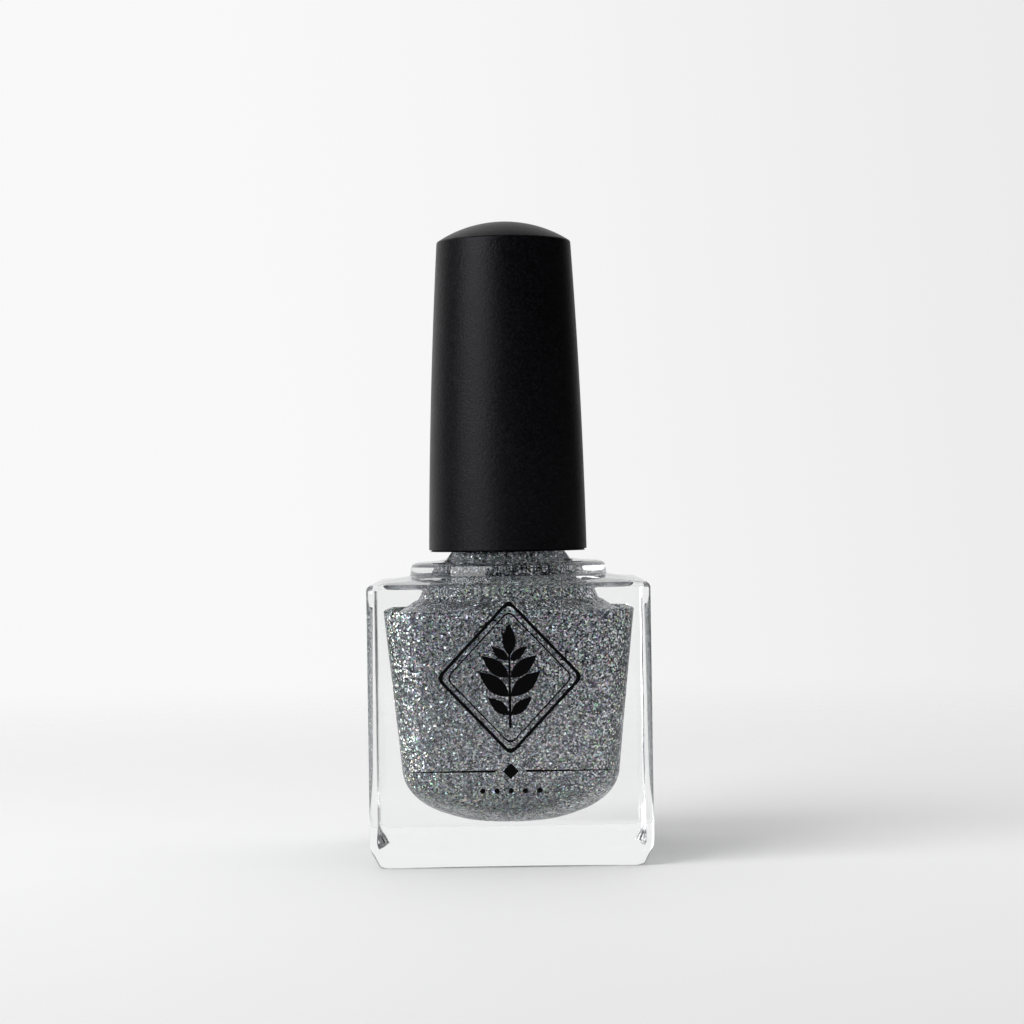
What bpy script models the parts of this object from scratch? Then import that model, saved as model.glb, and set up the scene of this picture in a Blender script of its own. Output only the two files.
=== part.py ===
"""Nail polish bottle: a thick-walled square glass bottle with a screw closure that carries a brush.

Metres, +Z up.  The origin is under the middle of the base, on the surface the bottle stands on, and
the bottle's front faces -Y.  Every piece is one closed body, and pieces that touch in the real bottle
are drawn FIT_GAP apart.  The closure turns about the Z axis, on a right-hand thread.
"""
import math

import bmesh
import bpy
from mathutils import Vector

MM = 0.001
INCH = 25.4 * MM

# Clearance kept between pieces that touch
FIT_GAP = 0.30 * MM

# Glass body, outside
BODY_WIDTH = 32.0 * MM
EDGE_RADIUS = 1.3 * MM
# (inset, height) of the soft chamfer round the base
HEEL_PROFILE = ((1.65 * MM, 0.0), (1.3 * MM, 0.2 * MM), (0.3 * MM, 1.6 * MM), (0.0, 2.4 * MM))
PUSH_UP_RADIUS = 9.8 * MM
PUSH_UP_DEPTH = 1.0 * MM
SHOULDER_RADIUS = 1.2 * MM
SHOULDER_EDGE_Z = 31.8 * MM
DISC_RADIUS = 11.5 * MM
DISC_FOOT_Z = 32.5 * MM
DISC_TOP_Z = 34.2 * MM
DISC_ROUNDING = 1.1 * MM
FOOT_EASE = 0.3 * MM

# Glass body, inside
FLOOR_Z = 4.3 * MM
FLOOR_FLAT = 2.5 * MM
FLOOR_CURVE_WIDTH = 9.9 * MM
FLOOR_CURVE_HEIGHT = 6.5 * MM
CHAMBER_TAPER = 0.1
CHAMBER_CORNER = 5.0 * MM
CORNER_GROWTH = 0.4
CHAMBER_TOP_Z = 29.7 * MM
CHAMBER_TOP_ROUNDING = 0.8 * MM
THROAT_RADIUS = 10.4 * MM
THROAT_ROUNDING = 0.3 * MM
THROAT_SHELF_Z = 32.4 * MM
THROAT_SHELF_RADIUS = 9.6 * MM
FUNNEL_RADIUS = 5.35 * MM
FUNNEL_Z = 34.0 * MM
BORE_BOTTOM_Z = 36.0 * MM

# Neck finish: 13 mm screw finish, 12 threads to the inch
NECK_FOOT_RADIUS = 7.3 * MM
NECK_FOOT_Z = 34.5 * MM
NECK_ROOT_RADIUS = 5.65 * MM
FINISH_HEIGHT = 11.2 * MM
RIM_Z = NECK_FOOT_Z + FINISH_HEIGHT
RIM_ROUNDING = 0.5 * MM
BORE_RADIUS = 3.75 * MM
THREAD_PITCH = INCH / 12
THREAD_DEPTH = 0.8 * MM
THREAD_BASE = 1.0 * MM
THREAD_CREST = 0.5 * MM
THREAD_BOTTOM_Z = 41.0 * MM
BOTTLE_THREAD_TURNS = 1.5
CAP_THREAD_TURNS = 1.25
THREAD_CLEARANCE = 0.4 * MM
UNSCREW_TURNS = 2

# Lacquer
FILL_Z = 36.6 * MM

# Mixing balls
BALL_RADIUS = 2.38 * MM
BALL_OFFSET = 6.6 * MM
BALL_REST_Z = 7.7 * MM
BALL_TRAVEL = 18.0 * MM

# Closure, outside
CAP_BOTTOM_Z = 35.4 * MM
CAP_BOTTOM_RADIUS = 9.3 * MM
CAP_RIM_RADIUS = 7.9 * MM
CAP_RIM_Z = 71.8 * MM
CAP_TOP_Z = 74.2 * MM
CAP_SIDE_BULGE = 0.22 * MM
CAP_RIM_ROUNDING = 0.3 * MM
CAP_WALL = 1.0 * MM

# Closure, threaded inner cap
INNER_CAP_BOTTOM_Z = 36.2 * MM
INNER_CAP_TOP_Z = 60.0 * MM
INNER_CAP_WALL = 0.9 * MM
SPLINE_DEPTH = 0.35 * MM
DECK_THICKNESS = 1.2 * MM
SOCKET_WALL = 1.3 * MM

# Liner, brush stem and its head
LINER_THICKNESS = 0.9 * MM
LINER_RADIUS = 5.7 * MM
FLANGE_THICKNESS = 1.0 * MM
STEM_TOP_RADIUS = 1.75 * MM
STEM_TIP_RADIUS = 2.0 * MM
STEM_TIP_Z = 24.0 * MM
STEM_HEAD_RADIUS = 2.4 * MM
STEM_HEAD_HEIGHT = 5.8 * MM
BEAD_RADIUS = 2.35 * MM
BEAD_HEIGHT = 1.2 * MM
TUFT_HOLE_RADIUS = 1.5 * MM
TUFT_HOLE_DEPTH = 5.0 * MM

# Bristle tuft and the flat wire that anchors it
TUFT_TIP_Z = 7.0 * MM
TUFT_ROOT_RADIUS = TUFT_HOLE_RADIUS - FIT_GAP
TUFT_RADIUS = 2.3 * MM
TUFT_WAIST_RADIUS = 1.85 * MM
ANCHOR_WIDTH = 2.4 * MM
ANCHOR_THICKNESS = 0.35 * MM
ANCHOR_HEIGHT = 1.4 * MM

# Fineness of the meshes
QUADRANT_DEGREES = (0, 10, 20, 30, 38, 42.5, 45, 47.5, 52, 60, 70, 80)
ROUND_STEPS = 40
SMALL_STEPS = 24
THREAD_STEP = math.radians(15)
SMOOTH_ANGLE = math.radians(35)

# Heights that follow from the pieces stacked on the glass rim
LINER_Z = RIM_Z + FIT_GAP
FLANGE_Z = LINER_Z + LINER_THICKNESS + FIT_GAP
FLANGE_TOP_Z = FLANGE_Z + FLANGE_THICKNESS
DECK_Z = FLANGE_TOP_Z + FIT_GAP
THREAD_CREST_RADIUS = NECK_ROOT_RADIUS + THREAD_DEPTH
SKIRT_RADIUS = THREAD_CREST_RADIUS + THREAD_CLEARANCE
UNSCREW_LIFT = UNSCREW_TURNS * THREAD_PITCH


# ---- scene and materials -----------------------------------------------------------------------

def clear_scene():
    for obj in list(bpy.data.objects):
        bpy.data.objects.remove(obj, do_unlink=True)


def principled(name, colour, roughness, metallic=0.0):
    material = bpy.data.materials.new(name)
    material.use_nodes = True
    shader = material.node_tree.nodes["Principled BSDF"]
    shader.inputs["Base Color"].default_value = (*colour, 1.0)
    shader.inputs["Roughness"].default_value = roughness
    shader.inputs["Metallic"].default_value = metallic
    return material


def joint_empty(name, location, parent=None):
    """An empty whose place is a joint's axis; the pieces that move with the joint hang from it."""
    empty = bpy.data.objects.new(name, None)
    bpy.context.collection.objects.link(empty)
    if parent is not None:
        empty.parent = parent
        location = Vector(location) - parent.matrix_world.translation
    empty.location = location
    bpy.context.view_layer.update()
    return empty


def add_piece(name, bm, material, parent=None):
    """Turns world-space mesh data into an object whose origin is its parent's origin."""
    origin = parent.matrix_world.translation if parent is not None else Vector((0, 0, 0))
    bmesh.ops.translate(bm, verts=bm.verts, vec=-origin)
    bmesh.ops.recalc_face_normals(bm, faces=bm.faces)
    mesh = bpy.data.meshes.new(name)
    bm.to_mesh(mesh)
    bm.free()
    mesh.shade_smooth()
    mesh.set_sharp_from_angle(angle=SMOOTH_ANGLE)
    mesh.materials.append(material)
    obj = bpy.data.objects.new(name, mesh)
    bpy.context.collection.objects.link(obj)
    obj.parent = parent
    return obj


def combine(target, tool, operation):
    """Adds or cuts away a helper solid, which stays in the file as a hidden wire shape."""
    tool.hide_render = True
    tool.display_type = 'WIRE'
    modifier = target.modifiers.new(tool.name, 'BOOLEAN')
    modifier.operation = operation
    modifier.solver = 'EXACT'
    modifier.object = tool


# ---- rings and lofts ---------------------------------------------------------------------------

def arc(centre, radii, start, end, steps):
    """Points (across, up) of an elliptical arc between two angles in degrees, both ends included."""
    points = []
    for step in range(steps + 1):
        angle = math.radians(start + (end - start) * step / steps)
        points.append((centre[0] + radii[0] * math.cos(angle), centre[1] + radii[1] * math.sin(angle)))
    return points


def plan_reach(angle, half, corner):
    """Distance from the axis to the edge of a rounded square, in the direction of angle."""
    across, along = abs(math.cos(angle)), abs(math.sin(angle))
    straight = half - corner
    if along * half <= straight * across:
        return half / across
    if across * half <= straight * along:
        return half / along
    towards = straight * (across + along)
    return towards + math.sqrt(max(towards ** 2 - 2 * straight ** 2 + corner ** 2, 0.0))


def square_ring(half, corner, z):
    """A rounded square at height z; it is a circle where corner equals half."""
    ring = []
    for quadrant in range(4):
        for degrees in QUADRANT_DEGREES:
            angle = math.radians(degrees + 90 * quadrant)
            reach = plan_reach(angle, half, corner)
            ring.append(Vector((reach * math.cos(angle), reach * math.sin(angle), z)))
    return ring


def round_ring(radius, z, steps=ROUND_STEPS):
    turn = 2 * math.pi / steps
    return [Vector((radius * math.cos(i * turn), radius * math.sin(i * turn), z)) for i in range(steps)]


def splined_ring(radius, z):
    """A round ring with low splines: two points out of every four stand proud by SPLINE_DEPTH."""
    ring = round_ring(radius, z)
    for index, point in enumerate(ring):
        if index % 4 in (1, 2):
            point.xy *= (radius + SPLINE_DEPTH) / radius
    return ring


def loft(rings):
    """A closed solid through rings that have the same number of points, capped at both ends."""
    bm = bmesh.new()
    rows = [[bm.verts.new(point) for point in ring] for ring in rings]
    for lower, upper in zip(rows, rows[1:]):
        for i in range(len(lower)):
            j = (i + 1) % len(lower)
            bm.faces.new((lower[i], lower[j], upper[j], upper[i]))
    bm.faces.new(rows[0])
    bm.faces.new(rows[-1])
    return bm


def turned(profile, steps=ROUND_STEPS):
    """A solid of revolution about Z from its (radius, z) profile, capped at both ends."""
    return loft([round_ring(radius, z, steps) for radius, z in profile])


def turned_ring(profile, steps=ROUND_STEPS):
    """A solid of revolution about Z from a closed (radius, z) section that stays off the axis."""
    bm = bmesh.new()
    rows = [[bm.verts.new(point) for point in round_ring(radius, z, steps)] for radius, z in profile]
    for lower, upper in zip(rows, rows[1:] + rows[:1]):
        for i in range(steps):
            j = (i + 1) % steps
            bm.faces.new((lower[i], lower[j], upper[j], upper[i]))
    return bm


def thread_ridge(root_radius, depth, bottom_z, turns):
    """A right-hand thread as one swept bar; depth is negative where the thread points inwards.

    Its root is sunk in the wall, and both ends run out into the wall over a twelfth of a turn.
    """
    sunk = math.copysign(0.3 * MM, depth)
    run_out = math.radians(30)
    total = turns * 2 * math.pi
    steps = round(total / THREAD_STEP)
    bm = bmesh.new()
    sections = []
    for step in range(steps + 1):
        angle = total * step / steps
        fade = min(angle, total - angle, run_out) / run_out
        crest = root_radius - 0.5 * sunk + (depth + 0.5 * sunk) * fade
        middle = bottom_z + THREAD_PITCH * angle / (2 * math.pi)
        outline = ((root_radius - sunk, THREAD_BASE / 2), (crest, THREAD_CREST / 2),
                   (crest, -THREAD_CREST / 2), (root_radius - sunk, -THREAD_BASE / 2))
        sections.append([bm.verts.new((radius * math.cos(angle), radius * math.sin(angle), middle + up))
                         for radius, up in outline])
    for near, far in zip(sections, sections[1:]):
        for i in range(4):
            j = (i + 1) % 4
            bm.faces.new((near[i], near[j], far[j], far[i]))
    bm.faces.new(sections[0])
    bm.faces.new(sections[-1])
    return bm


# ---- shapes shared by several pieces -----------------------------------------------------------

def chamber_half(z):
    """Half the width of the chamber above its curved floor: it widens steadily towards the top."""
    curve_top = FLOOR_Z + FLOOR_CURVE_HEIGHT
    return FLOOR_FLAT + FLOOR_CURVE_WIDTH + CHAMBER_TAPER * (z - curve_top)


def cavity_rings(inset):
    """The inside of the glass from its floor up to the foot of the neck bore, drawn in by inset."""
    rings = []
    for half, z in arc((FLOOR_FLAT, FLOOR_Z + FLOOR_CURVE_HEIGHT),
                       (FLOOR_CURVE_WIDTH - inset, FLOOR_CURVE_HEIGHT - inset), -90, 0, 6):
        corner = min(half, CHAMBER_CORNER + CORNER_GROWTH * (FLOOR_Z + FLOOR_CURVE_HEIGHT - z))
        rings.append(square_ring(half, corner, z))
    rounding = CHAMBER_TOP_ROUNDING
    side_top = CHAMBER_TOP_Z - rounding
    top_half = chamber_half(side_top) - inset
    for half, z in arc((top_half - rounding, side_top - inset), (rounding, rounding), 0, 90, 2):
        rings.append(square_ring(half, CHAMBER_CORNER, z))
    ease = THROAT_ROUNDING
    profile = [(THROAT_RADIUS + ease, CHAMBER_TOP_Z + 0.3 * ease), (THROAT_RADIUS, CHAMBER_TOP_Z + ease),
               (THROAT_SHELF_RADIUS, THROAT_SHELF_Z), (FUNNEL_RADIUS, FUNNEL_Z)]
    rings += [square_ring(radius - inset, radius - inset, z - inset) for radius, z in profile]
    return rings


def cap_side(z):
    """Outer radius of the cap's side: a straight taper with a slight swelling at mid height."""
    share = (z - CAP_BOTTOM_Z) / (CAP_RIM_Z - CAP_BOTTOM_Z)
    taper = CAP_BOTTOM_RADIUS + (CAP_RIM_RADIUS - CAP_BOTTOM_RADIUS) * share
    return taper + 4 * CAP_SIDE_BULGE * share * (1 - share)


def spaced(start, end, steps):
    return [start + (end - start) * step / steps for step in range(steps + 1)]


# ---- bottle ------------------------------------------------------------------------------------

def glass_outside():
    """Rings of the outside, from the middle of the push-up round the heel and up to the rim."""
    half = BODY_WIDTH / 2
    rings = []
    for share in (0.25, 0.6, 0.9):
        rise = PUSH_UP_DEPTH * (1 - share ** 2)
        rings.append(square_ring(PUSH_UP_RADIUS * share, PUSH_UP_RADIUS * share, rise))
    rings.append(square_ring(PUSH_UP_RADIUS, PUSH_UP_RADIUS, 0.0))
    for inset, height in HEEL_PROFILE:
        rings.append(square_ring(half - inset, EDGE_RADIUS, height))
    edge = SHOULDER_RADIUS
    for reach, z in arc((half - edge, SHOULDER_EDGE_Z - edge), (edge, edge), 0, 75, 3):
        rings.append(square_ring(reach, EDGE_RADIUS, z))
    disc = DISC_RADIUS
    ease = FOOT_EASE
    rings.append(square_ring(disc + ease, disc + ease, DISC_FOOT_Z))
    rings.append(square_ring(disc, disc, DISC_FOOT_Z + ease))
    for radius, z in arc((disc - DISC_ROUNDING, DISC_TOP_Z - DISC_ROUNDING),
                         (DISC_ROUNDING, DISC_ROUNDING), 0, 80, 4):
        rings.append(square_ring(radius, radius, z))
    cone = NECK_FOOT_RADIUS - NECK_ROOT_RADIUS
    neck = [(NECK_FOOT_RADIUS + 2 * ease, NECK_FOOT_Z - ease / 2),
            (NECK_FOOT_RADIUS, NECK_FOOT_Z),
            (NECK_ROOT_RADIUS, NECK_FOOT_Z + cone),
            (NECK_ROOT_RADIUS, RIM_Z - RIM_ROUNDING),
            (NECK_ROOT_RADIUS - RIM_ROUNDING, RIM_Z)]
    rings += [square_ring(radius, radius, z) for radius, z in neck]
    return rings


def glass_bottle():
    bore = [(BORE_RADIUS, BORE_BOTTOM_Z), (BORE_RADIUS, RIM_Z - RIM_ROUNDING),
            (BORE_RADIUS + RIM_ROUNDING, RIM_Z)]
    inside = cavity_rings(0.0) + [square_ring(radius, radius, z) for radius, z in bore]
    clear_glass = principled("clear_glass", (0.93, 0.95, 0.95), 0.03)
    bottle = add_piece("glass_bottle", loft(glass_outside() + inside[::-1]), clear_glass)
    ridge = thread_ridge(NECK_ROOT_RADIUS, THREAD_DEPTH, THREAD_BOTTOM_Z, BOTTLE_THREAD_TURNS)
    combine(bottle, add_piece("bottle_thread", ridge, clear_glass), 'UNION')
    return bottle


def polish():
    """The lacquer: it fills the glass up into the neck, and leaves room for the brush and the balls."""
    well = TUFT_RADIUS + FIT_GAP
    neck = BORE_RADIUS - FIT_GAP
    rings = cavity_rings(FIT_GAP)
    rings.append(square_ring(neck, neck, BORE_BOTTOM_Z - FIT_GAP))
    rings.append(square_ring(neck, neck, FILL_Z))
    rings.append(square_ring(well, well, FILL_Z))
    rings.append(square_ring(well, well, TUFT_TIP_Z - 2 * FIT_GAP))
    lacquer = add_piece("polish", loft(rings), principled("glitter_lacquer", (0.42, 0.43, 0.45), 0.30, 0.6))
    for side in (-1, 1):
        radius = BALL_RADIUS + FIT_GAP
        shaft = [(radius, FLOOR_Z - 1.0 * MM), (radius, BALL_REST_Z + BALL_TRAVEL + radius)]
        cutter = turned(shaft, SMALL_STEPS)
        bmesh.ops.translate(cutter, verts=cutter.verts, vec=(side * BALL_OFFSET, 0, 0))
        combine(lacquer, add_piece(f"ball_shaft_{side}", cutter, lacquer.data.materials[0]), 'DIFFERENCE')
    return lacquer


def mixing_balls():
    """Two loose steel balls that stir the lacquer; each rests on the curved floor of the glass."""
    steel = principled("ball_steel", (0.62, 0.63, 0.65), 0.15, 1.0)
    for number, side in enumerate((-1, 1), start=1):
        place = (side * BALL_OFFSET, 0, BALL_REST_Z)
        axis = joint_empty(f"mixing_ball_{number}_rise", place)
        bm = bmesh.new()
        bmesh.ops.create_icosphere(bm, subdivisions=2, radius=BALL_RADIUS)
        bmesh.ops.translate(bm, verts=bm.verts, vec=place)
        add_piece(f"mixing_ball_{number}", bm, steel, axis)


# ---- closure -----------------------------------------------------------------------------------

def cap_liner(parent):
    """A soft washer that seals the rim; it is held on the stem by the bead below it."""
    hole = STEM_TOP_RADIUS + FIT_GAP
    top = LINER_Z + LINER_THICKNESS
    section = [(hole, LINER_Z), (LINER_RADIUS, LINER_Z), (LINER_RADIUS, top), (hole, top)]
    add_piece("cap_liner", turned_ring(section), principled("foam_liner", (0.86, 0.86, 0.84), 0.75), parent)


def brush_rod(parent):
    """Stem with a head that plugs into the inner cap, a sealing flange, a bead and a hollow tip."""
    bead_top = LINER_Z - FIT_GAP - UNSCREW_LIFT
    head_top = FLANGE_TOP_Z + STEM_HEAD_HEIGHT
    chamfer = 0.4 * MM
    profile = [(STEM_HEAD_RADIUS - chamfer, head_top), (STEM_HEAD_RADIUS, head_top - chamfer),
               (STEM_HEAD_RADIUS, FLANGE_TOP_Z), (LINER_RADIUS, FLANGE_TOP_Z), (LINER_RADIUS, FLANGE_Z),
               (STEM_TOP_RADIUS, FLANGE_Z), (STEM_TOP_RADIUS, bead_top), (BEAD_RADIUS, bead_top),
               (BEAD_RADIUS, bead_top - BEAD_HEIGHT / 3), (STEM_TOP_RADIUS, bead_top - BEAD_HEIGHT),
               (STEM_TIP_RADIUS, STEM_TIP_Z + chamfer), (STEM_TIP_RADIUS - chamfer / 2, STEM_TIP_Z),
               (TUFT_HOLE_RADIUS, STEM_TIP_Z), (TUFT_HOLE_RADIUS, STEM_TIP_Z + TUFT_HOLE_DEPTH)]
    white_plastic = principled("stem_plastic", (0.80, 0.80, 0.78), 0.35)
    add_piece("brush_rod", turned(profile, SMALL_STEPS), white_plastic, parent)


def bristle_tuft(parent):
    """The filaments as one body: folded over the flat wire in the stem's tip, spreading below it."""
    root_top = STEM_TIP_Z + TUFT_HOLE_DEPTH - FIT_GAP
    length = STEM_TIP_Z - TUFT_TIP_Z
    profile = [(TUFT_ROOT_RADIUS - 0.3 * MM, root_top), (TUFT_ROOT_RADIUS, root_top - 0.3 * MM),
               (TUFT_ROOT_RADIUS, STEM_TIP_Z - FIT_GAP), (TUFT_WAIST_RADIUS, STEM_TIP_Z - 0.2 * length),
               (TUFT_RADIUS, TUFT_TIP_Z + 0.2 * length), (0.9 * TUFT_RADIUS, TUFT_TIP_Z + 0.07 * length),
               (0.6 * TUFT_RADIUS, TUFT_TIP_Z)]
    dark_filament = principled("nylon_filament", (0.10, 0.10, 0.11), 0.45)
    tuft = add_piece("bristle_tuft", turned(profile, SMALL_STEPS), dark_filament, parent)
    bm = bmesh.new()
    bmesh.ops.create_cube(bm, size=1.0)
    bmesh.ops.scale(bm, verts=bm.verts, vec=(3 * TUFT_ROOT_RADIUS, ANCHOR_THICKNESS + 2 * FIT_GAP,
                                             ANCHOR_HEIGHT + 2 * FIT_GAP))
    bmesh.ops.translate(bm, verts=bm.verts, vec=(0, 0, anchor_z()))
    combine(tuft, add_piece("anchor_slot", bm, dark_filament, parent), 'DIFFERENCE')


def anchor_z():
    """Middle height of the flat wire, in the upper half of the stem's hollow tip."""
    return STEM_TIP_Z + TUFT_HOLE_DEPTH - 4 * FIT_GAP - ANCHOR_HEIGHT / 2


def tuft_anchor(parent):
    bm = bmesh.new()
    bmesh.ops.create_cube(bm, size=1.0)
    bmesh.ops.scale(bm, verts=bm.verts, vec=(ANCHOR_WIDTH, ANCHOR_THICKNESS, ANCHOR_HEIGHT))
    bmesh.ops.translate(bm, verts=bm.verts, vec=(0, 0, anchor_z()))
    add_piece("tuft_anchor", bm, principled("anchor_brass", (0.72, 0.55, 0.28), 0.30, 1.0), parent)


def inner_cap(parent):
    """Threaded insert: skirt with the thread, deck, socket for the stem's head, splined outside."""
    def outside(z):
        return cap_side(z) - CAP_WALL - FIT_GAP - SPLINE_DEPTH

    socket = STEM_HEAD_RADIUS + FIT_GAP
    socket_top = FLANGE_TOP_Z + STEM_HEAD_HEIGHT + FIT_GAP
    deck_top = DECK_Z + DECK_THICKNESS
    tube = outside(INNER_CAP_TOP_Z) - INNER_CAP_WALL
    under = [(socket, socket_top), (socket, DECK_Z), (SKIRT_RADIUS, DECK_Z),
             (SKIRT_RADIUS, INNER_CAP_BOTTOM_Z)]
    above = [(tube, INNER_CAP_TOP_Z), (tube, deck_top), (socket + SOCKET_WALL, deck_top),
             (socket + SOCKET_WALL, socket_top + SOCKET_WALL)]
    rings = [round_ring(radius, z) for radius, z in under]
    for z in spaced(INNER_CAP_BOTTOM_Z, INNER_CAP_TOP_Z, 3):
        rings.append(splined_ring(outside(z), z))
    rings += [round_ring(radius, z) for radius, z in above]
    white_plastic = principled("inner_cap_plastic", (0.78, 0.78, 0.77), 0.45)
    cap = add_piece("inner_cap", loft(rings), white_plastic, parent)
    ridge = thread_ridge(SKIRT_RADIUS, -THREAD_DEPTH, THREAD_BOTTOM_Z - THREAD_PITCH / 2, CAP_THREAD_TURNS)
    combine(cap, add_piece("cap_thread", ridge, white_plastic, parent), 'UNION')


def outer_cap(parent):
    """Tapered hollow cap with a shallow domed top, coated soft to the touch."""
    dome_height = CAP_TOP_Z - CAP_RIM_Z
    dome_radius = (CAP_RIM_RADIUS ** 2 + dome_height ** 2) / (2 * dome_height)
    dome_centre = CAP_TOP_Z - dome_radius
    half_span = math.degrees(math.asin(CAP_RIM_RADIUS / dome_radius))
    inner_top = CAP_RIM_Z - CAP_WALL
    inside = [(1.5 * MM, inner_top + 1.2 * MM), (5.0 * MM, inner_top + 0.8 * MM)]
    inside += [(cap_side(z) - CAP_WALL, z) for z in spaced(inner_top, CAP_BOTTOM_Z, 4)]
    edge = 0.2 * MM
    outside = [(cap_side(CAP_BOTTOM_Z) - edge, CAP_BOTTOM_Z)]
    outside += [(cap_side(z), z) for z in spaced(CAP_BOTTOM_Z + edge, CAP_RIM_Z - CAP_RIM_ROUNDING, 7)]
    dome = arc((0, dome_centre), (dome_radius, dome_radius), 90 - half_span * 0.97, 90 - half_span * 0.1, 5)
    black_coating = principled("soft_touch_black", (0.012, 0.012, 0.015), 0.50)
    add_piece("outer_cap", turned(inside + outside + dome, 48), black_coating, parent)


def main():
    clear_scene()
    glass_bottle()
    polish()
    mixing_balls()
    rim_centre = (0, 0, RIM_Z)
    pull = joint_empty("closure_pull", rim_centre)
    lift = joint_empty("closure_lift", rim_centre, pull)
    turn = joint_empty("closure_turn", rim_centre, lift)
    cap_liner(pull)
    brush_rod(lift)
    bristle_tuft(lift)
    tuft_anchor(lift)
    inner_cap(turn)
    outer_cap(turn)


main()
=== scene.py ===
"""Looks of the nail polish bottle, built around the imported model, in metres with +Z up."""

import math
import random

import bmesh
import bpy
from mathutils import Matrix, Vector

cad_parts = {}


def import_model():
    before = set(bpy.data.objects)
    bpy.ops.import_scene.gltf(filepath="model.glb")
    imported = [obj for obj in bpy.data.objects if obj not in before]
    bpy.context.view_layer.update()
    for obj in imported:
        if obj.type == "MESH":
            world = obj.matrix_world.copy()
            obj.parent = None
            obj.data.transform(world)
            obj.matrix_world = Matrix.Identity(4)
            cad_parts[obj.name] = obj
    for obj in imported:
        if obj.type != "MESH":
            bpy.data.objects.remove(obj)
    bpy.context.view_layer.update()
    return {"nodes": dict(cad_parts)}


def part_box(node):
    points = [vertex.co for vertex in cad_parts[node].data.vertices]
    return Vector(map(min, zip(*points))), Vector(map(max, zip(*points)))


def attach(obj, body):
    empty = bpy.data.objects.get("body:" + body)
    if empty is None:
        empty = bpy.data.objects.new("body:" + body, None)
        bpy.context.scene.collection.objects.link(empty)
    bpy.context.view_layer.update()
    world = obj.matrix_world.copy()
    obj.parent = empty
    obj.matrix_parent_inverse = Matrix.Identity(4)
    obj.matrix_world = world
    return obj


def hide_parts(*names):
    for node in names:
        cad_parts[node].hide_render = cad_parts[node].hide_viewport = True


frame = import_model()

MM = 0.001

# ---- sizes read from the frame -----------------------------------------------------------------
CAP_LOW, CAP_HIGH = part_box("outer_cap")
INNER_LOW, INNER_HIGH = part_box("inner_cap")
LINER_LOW, LINER_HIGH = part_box("cap_liner")
ROD_LOW, ROD_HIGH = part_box("brush_rod")
TUFT_LOW, TUFT_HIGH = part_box("bristle_tuft")

BODY_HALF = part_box("glass_bottle")[1].x
RIM_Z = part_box("glass_bottle")[1].z
CAP_BOTTOM_Z = CAP_LOW.z
CAP_TOP_Z = CAP_HIGH.z
CAP_BOTTOM_RADIUS = CAP_HIGH.x
FILL_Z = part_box("polish")[1].z
ANCHOR_BOTTOM_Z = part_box("tuft_anchor")[0].z

# ---- sizes of the glass ------------------------------------------------------------------------
EDGE_RADIUS = 1.0 * MM
HEEL_INSET = 1.1 * MM
HEEL_HEIGHT = 2.2 * MM
PUSH_UP_RADIUS = 9.8 * MM
PUSH_UP_DEPTH = 1.0 * MM
SHOULDER_Z = 31.85 * MM
DISC_RADIUS = 11.5 * MM
DISC_FOOT_Z = 32.6 * MM
DISC_TOP_Z = 34.2 * MM
DISC_ROUNDING = (1.3 * MM, 0.5 * MM)
NECK_FOOT_RADIUS = 7.3 * MM
NECK_FOOT_Z = 34.5 * MM
NECK_ROOT_RADIUS = 5.65 * MM
NECK_ROOT_Z = NECK_FOOT_Z + NECK_FOOT_RADIUS - NECK_ROOT_RADIUS
BORE_RADIUS = 3.75 * MM
BORE_BOTTOM_Z = 36.0 * MM
FLOOR_Z = 4.3 * MM
FLOOR_FLAT = 2.5 * MM
FLOOR_CURVE = (9.9 * MM, 6.5 * MM)
CHAMBER_TAPER = 0.1
CHAMBER_CORNER = 5.0 * MM
CHAMBER_TOP_Z = 29.7 * MM
THROAT_RADIUS = 10.4 * MM
THROAT_SHELF = (9.7 * MM, 31.4 * MM)
FUNNEL = (5.2 * MM, 32.25 * MM)
FUNNEL_TOP = (4.95 * MM, 34.5 * MM)

THREAD_PITCH = 25.4 * MM / 12
THREAD_DEPTH = 0.8 * MM
THREAD_WIDTH = 1.0 * MM
BOTTLE_THREAD = (41.0 * MM, 1.5)
CAP_THREAD = (41.0 * MM - THREAD_PITCH / 2, 1.25)
THREAD_RUN_OUT = 30
SKIRT_RADIUS = 6.85 * MM

# ---- sizes of the closure, the print and the meshes --------------------------------------------
CAP_RIM_RADIUS = 7.9 * MM
CAP_RIM_Z = 71.8 * MM
CAP_SIDE_BULGE = 0.22 * MM
CAP_WALL = 1.0 * MM

INK_THICKNESS = 0.02 * MM
INK_ROOT = 0.004 * MM
PRINT_CENTRE_Z = 21.4 * MM
RULE_Z = 10.9 * MM
DOTS_Z = 8.7 * MM

LINER_HOLE_RADIUS = 2.05 * MM
CLOSURE_GAP = 0.3 * MM
SPLINES = 10
SPLINE_HEIGHT = 0.35 * MM
STEM_HEAD_HEIGHT = 5.8 * MM
STEM_HEAD_RADIUS = 2.4 * MM
STEM_RADIUS = 1.75 * MM
STEM_TIP_RADIUS = 2.0 * MM
STEM_BEAD_RADIUS = 2.35 * MM
STEM_HOLE_RADIUS = 1.5 * MM
STEM_HOLE_DEPTH = 5.0 * MM
FILAMENTS = 420
FILAMENT_RADIUS = 0.045 * MM
FILAMENT_STEPS = 12
TUFT_ROOT_RADIUS = 1.14 * MM
TUFT_TIP_SHARE = 0.86
GOLDEN_ANGLE = math.radians(137.508)

RING_STEPS = 96
FINE_RING_STEPS = 160
OUTLINE_SPACING = 1.2 * MM
WETTING = 0.02 * MM

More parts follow.
